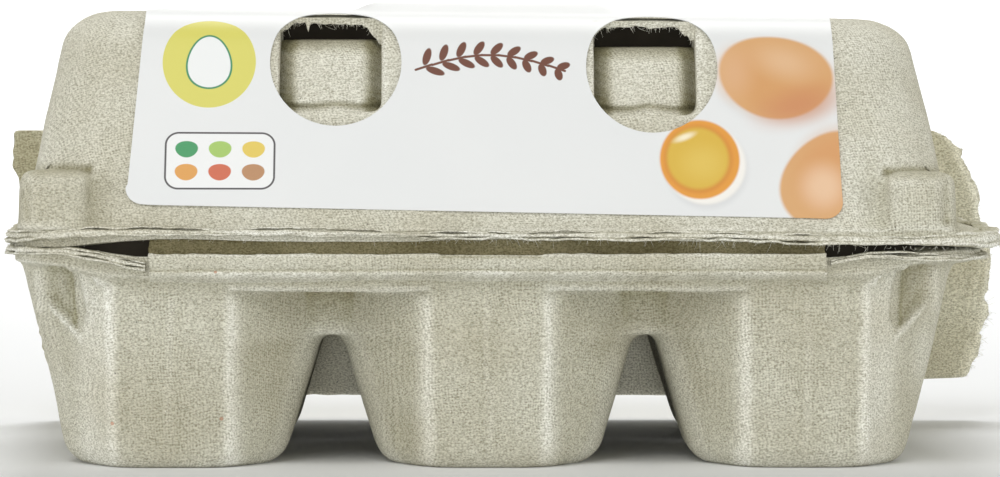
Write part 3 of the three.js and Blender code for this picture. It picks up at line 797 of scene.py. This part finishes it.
def makeLip(which, material):
    # thin torn layers over one another, each a closed band round the carton
    look, lip = lipSettings, lipSettings[which]
    places, outward, along = rimPath(look["step"])
    shown = (places[:, 1] > -carton["rimHalfY"] + 0.01) | (np.abs(places[:, 0]) > lip["halfOpen"])
    places, outward, along = places[shown], outward[shown], along[shown]
    x, y = places.T
    count, around = len(places), look["aroundCount"]
    atX, atZ, atThick = np.array(lip["front"]).T
    infront = smoothStep(25, -15, y)
    middle = lip["back"][0] + infront * (np.interp(x, atX, atZ) - lip["back"][0])
    thick = lip["back"][1] + infront * (np.interp(x, atX, atThick) - lip["back"][1])
    bent = lip["flare"] * cornerFlare(x, y)
    wave = 0.3 * lineNoise(along, 9.0, lip["seed"]) + 0.15 * lineNoise(along, 3.0, lip["seed"] + 1)
    points, faces, tones = [], [], []
    for layer, (level, halfShare, standsOut) in enumerate(look["sheets"]):
        seed = lip["seed"] + 20 * layer
        ragged = (0.2 * lineNoise(along, 2.4, seed + 2) + 0.3 * lineNoise(along, 1.0, seed + 3)
                  + 0.35 * lineNoise(along, 14.0, seed + 4))
        reach = look["inset"] + wave + ragged + standsOut
        lift = 0.16 * lineNoise(along, 11.0, seed + 5) + 0.12 * lineNoise(along, 2.3, seed + 6)
        half = thick * halfShare * (1 + 0.4 * lineNoise(along, 4.0, seed + 7))
        parted = 0.8 + 0.5 * lineNoise(along, 7.0, seed + 20) + 0.25 * lineNoise(along, 2.0, seed + 21)
        grid = np.empty((around, count, 3))
        shade = np.empty((around, count))
        for k, angle in enumerate(np.linspace(0, 2 * math.pi, around, endpoint=False)):
            outer, up = math.cos(angle), math.sin(angle)
            blunt = np.sign(outer) * abs(outer) ** 0.5
            out = -look["inset"] + reach * (0.5 + 0.5 * blunt)
            grid[k, :, 0] = x + outward[:, 0] * out + bent
            grid[k, :, 1] = y + outward[:, 1] * out
            # the torn edge fans out and frays
            fan = 1 + 0.5 * max(outer, 0) * lineNoise(along, 1.1, seed + 8 + k % 3)
            fray = 0.16 * max(outer, 0) * lineNoise(along, 0.7, seed + 12 + k % 4)
            grid[k, :, 2] = middle + level * parted * thick + lift + up * half * fan + fray
            torn = max(outer, 0)
            # painted light on the torn outer edge, painted shade on the sides between the layers
            shade[k] = 1.1 * torn ** 2 - 1.2 * (1 - torn) + 0.7 * lineNoise(along, 1.3, seed + 9)
        index = np.arange(around * count).reshape(around, count) + layer * around * count
        turned = np.roll(index, -1, axis=0)
        closed = lip["halfOpen"] == 0
        a, b = (index, np.roll(index, -1, axis=1)) if closed else (index[:, :-1], index[:, 1:])
        d, c = (turned, np.roll(turned, -1, axis=1)) if closed else (turned[:, :-1], turned[:, 1:])
        faces += np.column_stack([a.ravel(), b.ravel(), c.ravel(), d.ravel()]).tolist()
        if not closed:
            faces += [index[::-1, 0].tolist(), index[:, -1].tolist()]
        points.append(grid.reshape(-1, 3))
        tones.append(shade.ravel())
    mesh = meshFrom(lip["name"], np.vstack(points), faces)
    setTone(mesh, np.concatenate(tones))
    newPiece(lip["name"], mesh, material)
    # where loose fibres may grow: the lower edge along the front and a little round the corners
    rows = np.nonzero(y < -20)[0]
    roots = np.column_stack([x + bent, y, middle - 0.5 * thick])[rows]
    return roots, outward[rows]


# Loose fibres of torn paper: thin curved hairs

fibreSettings = {
    "steps": 5,
    "radius": 0.04,         # mm
    "spread": 0.4,
    "bend": 0.35,
}


def makeFibres(name, material, roots, ways, reach, seed):
    look = fibreSettings
    random = np.random.default_rng(seed)
    count = len(roots)
    length = reach * random.uniform(0.35, 1.5, count)[:, None, None]
    way = ways + random.normal(0, look["spread"], (count, 3))
    way /= np.linalg.norm(way, axis=1)[:, None]
    bend = random.normal(0, look["bend"], (count, 3))
    share = np.linspace(0, 1, look["steps"])[None, :, None]
    spine = roots[:, None] + length * (way[:, None] * share + bend[:, None] * share ** 2)
    side = np.cross(way, random.normal(0, 1, (count, 3)))
    side /= np.linalg.norm(side, axis=1)[:, None]
    up = np.cross(way, side)
    thin = look["radius"] * (1 - 0.6 * share)
    corners = [spine + thin * (side * math.cos(a) + up * math.sin(a))[:, None] for a in (0.0, 2.09, 4.19)]
    points = np.stack(corners, axis=2)
    index = np.arange(points[..., 0].size).reshape(points.shape[:3])
    turned = np.roll(index, -1, axis=2)
    quads = np.stack([index[:, :-1], turned[:, :-1], turned[:, 1:], index[:, 1:]], axis=-1)
    faces = quads.reshape(-1, 4).tolist() + index[:, 0, ::-1].tolist() + index[:, -1].tolist()
    mesh = meshFrom(name, points.reshape(-1, 3), faces)
    setTone(mesh, np.full(len(mesh.vertices), 1.2))
    newPiece(name, mesh, material)


def scattered(places, outward, count, seed, setBack, drop):
    # random roots along an edge
    random = np.random.default_rng(seed)
    pick = random.integers(0, len(places), count)
    roots = places[pick].astype(float)
    back = random.uniform(*setBack, count)
    roots[:, 0] -= outward[pick, 0] * back
    roots[:, 1] -= outward[pick, 1] * back
    roots[:, 2] += random.uniform(*drop, count)
    return roots, np.column_stack([outward[pick], np.zeros(count)])


# The latch flap: it stands up from the tray's rim behind the lid's lip

flapSettings = {
    "halfX": 52.3,
    "step": 0.5,
    "thickness": 0.9,
    # depth behind the rim and height, from the foot up
    "face": ((2.2, 32.4), (2.3, 33.6), (2.4, 34.6), (2.6, 35.6), (3.2, 36.6), (4.2, 37.4)),
    "band": ((3.4, 28.9), (2.2, 29.5), (1.1, 30.0), (0.4, 30.4), (0.2, 30.8), (0.3, 31.15),
             (0.1, 31.5), (-0.1, 32.0), (-0.15, 32.8), (-0.05, 33.4), (0.2, 33.65), (0.8, 33.7)),
    "slot": (-7.7, -7.1, 8.1, 8.7),    # mm, where the band's upper edge is worn down
    "streaks": (-49.5, -46.6, -43.9, -41.8),
}


def flapSheet(name, profile, material, seed, edgeAt, replaced=()):
    look = flapSettings
    x = np.arange(-look["halfX"], look["halfX"] + 0.01, look["step"])
    fine = []
    for (d0, z0), (d1, z1) in zip(profile[:-1], profile[1:]):
        fine += [(d0 + (d1 - d0) * t, z0 + (z1 - z0) * t) for t in (0, 0.34, 0.67)]
    fine.append(profile[-1])
    outer = np.empty((len(fine), len(x), 3))
    inner = np.empty_like(outer)
    tone = np.empty((len(fine), len(x)))
    for r, (depth, z) in enumerate(fine):
        share = r / (len(fine) - 1)
        sample = np.column_stack([x, np.full(len(x), depth), np.full(len(x), z)])
        wobble = 0.14 * softNoise(sample, 6.0, seed) + 0.07 * softNoise(sample, 1.5, seed + 1)
        ends = 0.3 * lineNoise(np.full(len(x), z), 0.9, seed + 2) * (np.abs(x) > look["halfX"] - 0.6)
        rise, tone[r] = edgeAt(x, z, share)
        outer[r] = np.column_stack([x + ends, -carton["rimHalfY"] + depth - wobble, z + rise + wobble * 0.4])
        inner[r] = outer[r] + [0, look["thickness"], -0.1 - 0.3 * share]
    mesh = closedSheet(name, outer, inner)
    setTone(mesh, np.tile(tone.ravel(), 2))
    newPiece(name, mesh, material, replaced)


def makeFlap(pulp, shaded):
    look = flapSettings

    def faceEdge(x, z, share):
        # slanting rubbed streaks near the left end
        streaks = sum(bell(x - 0.5 * (z - 34), middle, 0.55) for middle in look["streaks"])
        rubbed = 1.2 * streaks + 0.5 * lineNoise(x, 2.0, 83)
        return 0.0 * x, rubbed * share + 0.8 * lineNoise(x, 9.0, 76) + 0.25

    def bandEdge(x, z, share):
        wornAndShaded = plateau(x, *look["slot"])
        torn = 0.14 * lineNoise(x, 1.3, 77) + 0.12 * lineNoise(x, 5.0, 78)
        rise = (torn - 0.45 * wornAndShaded) * smoothStep(0.85, 1.0, share)
        rise += 0.15 * lineNoise(x, 16.0, 79) * smoothStep(0.6, 0.3, share)
        # painted light at its torn edge and on the bulge below, painted shade in the crease between them
        z = z + 0 * x
        shade = (0.8 + 0.6 * lineNoise(x, 7.0, 84)) * plateau(z, 29.4, 30.2, 30.8, 31.1) - 0.3
        shade += smoothStep(33.2, 33.5, z) + 0.6 * smoothStep(29.8, 29.2, z) - 0.7 * bell(z, 31.2, 0.2)
        # painted shade in the slot where the edge is worn down
        return rise, shade - 1.3 * wornAndShaded * bell(z, 33.3, 0.25)

    flapSheet("latchFlap", look["face"], shaded, 71, faceEdge, ["latch_flap_fold"])
    flapSheet("flapBand", look["band"], pulp, 75, bandEdge)


# The knobs that stand in the lid's holes

knobSettings = {
    "left": {"node": "latch_knob_left", "side": -1, "top": 66.1, "seed": 81},
    "right": {"node": "latch_knob_right", "side": 1, "top": 65.3, "seed": 91},
    "step": 0.32,
}


def makeKnob(which, pulp):
    look = knobSettings[which]
    middle = look["side"] * carton["cellPitch"] / 2
    half = carton["holeHalf"] + 0.5
    columns = np.arange(-half, half + 0.01, knobSettings["step"])
    drop = leanDrop(middle, 62.0)
    rows = []
    # up the face, then back over the top
    for z in np.arange(carton["holeLow"] - 1.2, look["top"] + 0.01, knobSettings["step"]):
        roll = np.clip((z - (look["top"] - 3.4)) / 3.4, 0, 1)
        rows.append((z, 0.75 + 2.4 * roll ** 2.6))
    for k in range(1, 26):
        rows.append((look["top"] + 0.16 * math.sin(min(k / 6, 1) * math.pi / 2) + 0.01 * k, 3.15 + 0.4 * k))
    outer = np.empty((len(rows), len(columns), 3))
    tone = np.empty((len(rows), len(columns)))
    for r, (z, back) in enumerate(rows):
        sides = 4.6 * smoothStep(4.6, half, np.abs(columns)) ** 1.35
        wavy = 0.45 * bell(columns, 1.0, 2.4) + 0.12 * lineNoise(columns, 2.0, look["seed"] + 2)
        crease = bell(z, carton["holeLow"] + 0.75 + wavy, 0.42)
        tuck = 1.5 * crease * (1 - 0.4 * bell(columns, 1.0, 2.5))
        rim = smoothStep(4.4, 6.6, np.abs(columns)) * (1 + 0.5 * smoothStep(60, 56, z))
        top = smoothStep(look["top"] - 2.6, look["top"] - 0.2, z)
        # painted shade: darker at the sides and top, where the hole's edges shade the knob, and in the crease
        # at its foot; the face lighter
        tone[r] = 0.5 - 1.7 * rim - 1.5 * top - 1.9 * crease + 0.8 * lineNoise(columns + 3 * z, 0.8, 82) * rim
        y = -wallHalf(z) + back + sides + tuck
        outer[r] = np.column_stack([middle + columns, y, np.full(len(columns), z - drop)])
    flat = outer.reshape(-1, 3)
    flat[:, 1] += unevenness(flat, 0.2, 0.12, 0.05, look["seed"])
    outer = flat.reshape(outer.shape)
    inner = outer + [0, 1.2, -0.3]
    mesh = closedSheet("latchKnob_" + which, outer, inner)
    setTone(mesh, np.tile(tone.ravel(), 2))
    newPiece("latchKnob_" + which, mesh, pulp, [look["node"]])


def lidFrontAt(z):
    # Y of the lid's front face at a height, with its rounded upper edge
    share = np.clip(1 - (carton["lidTop"] - z) / carton["lidEdge"], 0, 1)
    inward = 1.5 * carton["lidEdge"] * (1 - np.cos(np.arcsin(share)))
    return -wallHalf(np.minimum(z, carton["lidTop"] - 0.4 * carton["lidEdge"])) + inward


shredSettings = {
    # for each hole: how far its upper corners are filled, left and right, and where a shred hangs
    "left": {"side": -1, "corners": (1.3, 2.9), "shred": (-28.3, 1.5), "seed": 121},
    "right": {"side": 1, "corners": (1.0, 1.9), "shred": (33.4, 0.4), "seed": 131},
    "step": 0.2,
    "thickness": 0.45,
}


def makeShreds(which, pulp):
    # the torn upper edge of a hole
    look, hole = shredSettings, shredSettings[which]
    middle = hole["side"] * carton["cellPitch"] / 2
    xs = np.arange(-carton["holeHalf"] - 0.3, carton["holeHalf"] + 0.31, look["step"]) + middle
    left, right = hole["corners"]
    fromLeft, fromRight = xs - middle + carton["holeHalf"], middle + carton["holeHalf"] - xs
    depth = (0.45 + 0.22 * lineNoise(xs, 0.8, hole["seed"]) + 0.2 * lineNoise(xs, 2.6, hole["seed"] + 1)
             + left * smoothStep(2.4, 0.0, fromLeft) + right * smoothStep(3.2, 0.0, fromRight)
             + 0.3 * lineNoise(xs, 0.5, hole["seed"] + 3)
             * smoothStep(4.5, 1.0, np.minimum(fromLeft, fromRight))
             + hole["shred"][1] * bell(xs, hole["shred"][0], 0.22))
    top = carton["holeHigh"] + 0.5
    outer = np.empty((6, len(xs), 3))
    for r, share in enumerate(np.linspace(1, 0, 6)):
        z = top - (depth + 0.5) * share
        y = lidFrontAt(carton["holeHigh"]) + 0.35 + 0.25 * share
        y = y + 0.12 * lineNoise(xs + 9 * share, 0.9, hole["seed"] + 2)
        outer[r] = np.column_stack([xs, y, z - leanDrop(xs, z)])
    name = which + "HoleShreds"
    mesh = closedSheet(name, outer, outer + [0, look["thickness"], 0.05])
    setTone(mesh, np.tile(np.repeat(np.linspace(0.9, 0.0, 6), len(xs)), 2))
    newPiece(name, mesh, pulp)
    return outer[0]


def makeDarkInside(material):
    # dark sheets of painted shade, where only shade is seen past the knobs and through the open ends of the
    # gap
    for name, side in (("insideLeftHole", -1), ("insideRightHole", 1)):
        middle = side * carton["cellPitch"] / 2
        drop = leanDrop(middle, 68.0)
        half = carton["holeHalf"] - 0.1
        xs = np.linspace(middle - half, middle + half, 12)
        zs = np.linspace(60.0, carton["holeHigh"] - 0.15, 8) - drop
        outer = np.array([[(x, -carton["holeBack"] - 0.6 - 0.1 * math.cos(x), z) for x in xs] for z in zs])
        newPiece(name, closedSheet(name, outer, outer + [0, 0.4, 0]), material)
    for name, side in (("insideLeftGap", -1), ("insideRightGap", 1)):
        xs = np.linspace(51.5, 66.0, 24) * side
        if side < 0:
            xs = xs[::-1]
        zs = np.linspace(32.4, 36.6, 6)
        outer = np.array([[(x, -46.9 + 0.1 * math.cos(x), z + 1.2 * smoothStep(52, 62, abs(x))) for x in xs]
                          for z in zs])
        newPiece(name, closedSheet(name, outer, outer + [0, 0.5, 0]), material)


# The hinge panel with its torn ends

panelSettings = {"voxel": 0.62, "passes": 3, "creaseBelowTop": 1.3}


def makePanel(pulp):
    look = panelSettings
    mesh = remeshedNode("hinge_panel", look["voxel"])
    points = meshPoints(mesh)
    points = relaxed(mesh, points, look["passes"], np.ones(len(points)))
    x, y, z = points.T
    top = z.max()
    # how close a point is to an end, by the panel's own width at its height
    order = np.round(z).astype(int)
    ends = {level: (x[order == level].min(), x[order == level].max()) for level in np.unique(order)}
    low, high = np.array([ends[level] for level in order]).T
    nearLeft = smoothStep(3.0, 0.0, x - low)
    nearRight = smoothStep(3.0, 0.0, high - x)
    tear = 0.5 * lineNoise(z, 3.1, 101) + 0.5 * lineNoise(z, 1.2, 102) + 0.35 * softNoise(points, 0.8, 103)
    x = x + nearRight * (tear - 0.5) - nearLeft * (0.5 * tear - 0.2)
    edges = smoothStep(2.6, 1.2, high - x) * bell(x, high - 1.0, 1.3)
    inner = bell(x, high - 2.6 + 0.4 * lineNoise(z, 3.0, 108), 0.3) * (z < 32)
    # the ends swell where the layers have come apart
    middle = (y.min() + y.max()) / 2
    y = middle + (y - middle) * (1 + 0.5 * nearRight * (0.6 + 0.4 * lineNoise(z, 2.0, 104)))
    y = y + 0.4 * softNoise(points, 24.0, 105) * smoothStep(30, 80, np.abs(x))
    y = y + 0.12 * softNoise(points, 6.0, 106)
    y = y + 0.7 * bell(z, top - look["creaseBelowTop"], 0.5) * np.sign(middle - y)
    z = z + smoothStep(1.5, 0.0, z - 4.3) * 0.2 * lineNoise(x, 2.5, 107)
    nearest, farthest = (corner[1] / mm - carton["middleY"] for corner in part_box("hinge_panel"))
    y = np.clip(y, nearest - 0.3, farthest)
    points = np.column_stack([x, y, z])
    setPoints(mesh, points)
    # painted light where the panel is seen through the arches, painted shade at its left end; lighter along
    # the torn right end and a line just inside it
    seen = smoothStep(64, 56, np.abs(x))
    setTone(mesh, 1.4 * edges + 1.0 * inner + 1.8 * seen - 0.9 * smoothStep(-75, -79, x) - 0.2)
    newPiece("hingePanel", mesh, pulp, ["hinge_panel"])
    torn = (nearRight > 0.75) & (y < middle)
    return points[torn], np.tile([1.0, -0.3], (int(torn.sum()), 1))


# The label: one strip of coated paper from the front wall over the top, with two round windows

labelSettings = {
    "footZ": 40.0,
    "tilt": 0.019,          # its lower edge falls this much for each millimetre towards +X
    "footHalf": 55.5,
    "topHalf": 54.0,
    "footShift": -0.6,
    "topShift": 0.1,
    "back": 24.0,
    "cornerRadius": 2.8,
    "windows": ((-23.8, 63.0, 11.1), (25.7, 62.2, 11.6)),   # x and height of each middle, half length
    "windowHalfX": 10.3,
    "above": 0.17,          # mm over the lid
    "thickness": 0.13,
    "meshStep": 1.4,
}


def edgeProfile():
    # the lid from the label's foot over its rounded edge to the back, as y, z and length along it
    turnIn = 1.5 * carton["lidEdge"]
    wallEnd = carton["lidTop"] - carton["lidEdge"]
    rows = [(-wallHalf(z), z) for z in np.linspace(labelSettings["footZ"], wallEnd, 20)]
    for angle in np.radians(np.arange(6, 91, 6)):
        z = carton["lidTop"] - carton["lidEdge"] * (1 - math.sin(angle))
        slopeZ = min(z, carton["lidTop"] - 0.4 * carton["lidEdge"])
        rows.append((-wallHalf(slopeZ) + turnIn * (1 - math.cos(angle)), z))
    start = rows[-1][0]
    rows += [(y, carton["lidTop"]) for y in np.linspace(start, labelSettings["back"], 40)[1:]]
    rows = np.array(rows)
    steps = np.hypot(*np.diff(rows, axis=0).T)
    return rows, np.concatenate([[0], np.cumsum(steps)])


def labelPoints(flat, offset):
    # from places on the flat label to the carton
    rows, along = edgeProfile()
    tangent = np.gradient(rows, along, axis=0)
    tangent /= np.linalg.norm(tangent, axis=1)[:, None]
    x, s = flat.T
    y, z, ty, tz = (np.interp(s, along, values) for values in np.hstack([rows, tangent]).T)
    # below the foot the wall runs straight on
    y = y - tz * offset + np.minimum(s, 0) * ty
    z = z + ty * offset + np.minimum(s, 0) * tz
    onTop = smoothStep(along[-40], along[-34], s)
    z = z + (humpAt(x, y) + 0.12) * onTop
    return np.column_stack([x, y, z - leanDrop(x, z)])


def labelSides(s):
    # its left and right edge: it is narrower at the top of the lid's front than at its foot
    look, share = labelSettings, np.clip(s / 33.0, 0, 1)
    half = look["footHalf"] + (look["topHalf"] - look["footHalf"]) * share
    shift = look["footShift"] + (look["topShift"] - look["footShift"]) * share
    return shift - half, shift + half


def labelOutline(length):
    # round the flat label, with rounded corners at its foot
    look = labelSettings
    slope = math.hypot(1, carton["lidWallSlope"])
    step, radius = look["meshStep"], look["cornerRadius"]
    left, right = labelSides(0.0)
    points = []
    for middleX, side, start in ((left + radius, -1, 180), (right - radius, 1, 270)):
        fall = -look["tilt"] * (middleX + side * radius) * slope
        for k in range(9):
            angle = math.radians(start + 90 * k / 8)
            points.append((middleX + radius * math.cos(angle), fall + radius + radius * math.sin(angle)))
        if side < 0:
            for x in np.arange(left + radius + step, right - radius - step / 2, step):
                points.append((x, -look["tilt"] * x * slope))
    for s in np.arange(radius + step, length, step):
        points.append((labelSides(s)[1], s))
    for x in np.arange(labelSides(length)[1], labelSides(length)[0] - 0.01, -step):
        points.append((x, length))
    for s in np.arange(length - step, radius + step / 2, -step):
        points.append((labelSides(s)[0], s))
    return points


def makeLabel(material):
    look = labelSettings
    length = float(edgeProfile()[1][-1])
    slope = math.hypot(1, carton["lidWallSlope"])
    outline = labelOutline(length)
    loops = [outline]
    middles = [(x, (z + leanDrop(x, z) - look["footZ"]) * slope, half) for x, z, half in look["windows"]]
    turn = np.linspace(0, 2 * math.pi, 56, endpoint=False)
    for x, s, half in middles:
        circle = np.column_stack([x + look["windowHalfX"] * np.cos(turn), s + half * np.sin(turn)])
        loops.append(circle.tolist())

    def inWindow(places, wider):
        inside = np.zeros(len(places), dtype=bool)
        for x, s, half in middles:
            across = (places[:, 0] - x) / (look["windowHalfX"] + wider)
            up = (places[:, 1] - s) / (half + wider)
            inside |= np.hypot(across, up) < 0.999
        return inside

    grid = []
    for s in np.arange(0, length, look["meshStep"]):
        low, high = labelSides(s)
        grid += [(x, s) for x in np.arange(low + 1, high - 0.5, look["meshStep"])]
    grid = np.array(grid)
    clear = (grid[:, 1] > -look["tilt"] * grid[:, 0] * slope + 0.7) & (grid[:, 1] < length - 0.7)
    grid = grid[clear & ~inWindow(grid, 0.5)].tolist()
    flat, edges = [], []
    for loop in loops:
        start = len(flat)
        flat += loop
        edges += [(start + k, start + (k + 1) % len(loop)) for k in range(len(loop))]
    flat += grid
    made = delaunay_2d_cdt([Vector(p) for p in flat], edges, [], 1, 1e-5)
    flat = np.array([tuple(p) for p in made[0]])
    middlesOfFaces = np.array([flat[list(face)].mean(axis=0) for face in made[2]])
    faces = [list(face) for face, hole in zip(made[2], inWindow(middlesOfFaces, 0.0)) if not hole]
    count = len(flat)
    outer = labelPoints(flat, look["above"] + look["thickness"])
    inner = labelPoints(flat, look["above"])
    # an edge that only one face uses lies at the label's rim, or at a window's
    used = dict.fromkeys((a, b) for face in faces for a, b in zip(face, face[1:] + face[:1]))
    sides = [[b, a, a + count, b + count] for a, b in used if (b, a) not in used]
    allFaces = faces + [[v + count for v in reversed(face)] for face in faces] + sides
    mesh = meshFrom("label", np.vstack([outer, inner]), allFaces)
    place = mesh.attributes.new("labelPlace", "FLOAT_VECTOR", "POINT")
    values = np.zeros((2 * count, 3), dtype=np.float32)
    values[:, :2] = np.vstack([flat, flat])
    place.data.foreach_set("vector", values.ravel())
    newPiece("paperLabel", mesh, material, ["label"])
    mesh.set_sharp_from_angle(angle=math.radians(40))


makeCamera()
makeStudio()
print("camera and studio set")

pulp = mouldedPulp("mouldedPulp")
# a darker, olive copy of the pulp: painted shade for the flap's face under the lid's lip
shadedPulp = mouldedPulp("mouldedPulpPaintedShade", tint="#a8a185")
inside = darkInside("pulpInShade")
makeLid(pulp)
makeTray(pulp)
lipEdge = makeLip("lid", pulp)
rimEdge = makeLip("tray", pulp)
makeFlap(pulp, shadedPulp)
for which in ("left", "right"):
    makeKnob(which, pulp)
    edge = makeShreds(which, pulp)
    roots, ways = scattered(edge, np.tile([0.0, -1.0], (len(edge), 1)), 70, 141, (-0.1, 0.2), (-0.1, 0.4))
    makeFibres(which + "HoleFibres", pulp, roots, ways * 0.3 + [0, 0, -0.9], 0.7, 142)
makeDarkInside(inside)
# a slightly warmer, darker copy of the pulp: the olive of painted shade on the panel, which is seen in shade
# through the arches
panelEdge = makePanel(mouldedPulp("mouldedPulpPanelShade", tint="#fcfaf0"))
# the fibres hang from the lid's lip, lie over the tray's rim and stand off the panel's torn end
roots, ways = scattered(*lipEdge, 620, 151, (0.2, 1.4), (-0.05, 0.5))
makeFibres("lipFibres", pulp, roots, ways * 0.3 + [0, 0, -0.75], 0.8, 152)
roots, ways = scattered(*rimEdge, 260, 153, (0.1, 0.8), (0.0, 1.1))
makeFibres("rimFibres", pulp, roots, ways * 0.5, 0.7, 154)
roots, ways = scattered(*panelEdge, 320, 155, (-0.1, 0.3), (-0.2, 0.2))
makeFibres("panelFibres", pulp, roots, ways, 0.8, 156)
makeLabel(coatedPaper("coatedPaper"))
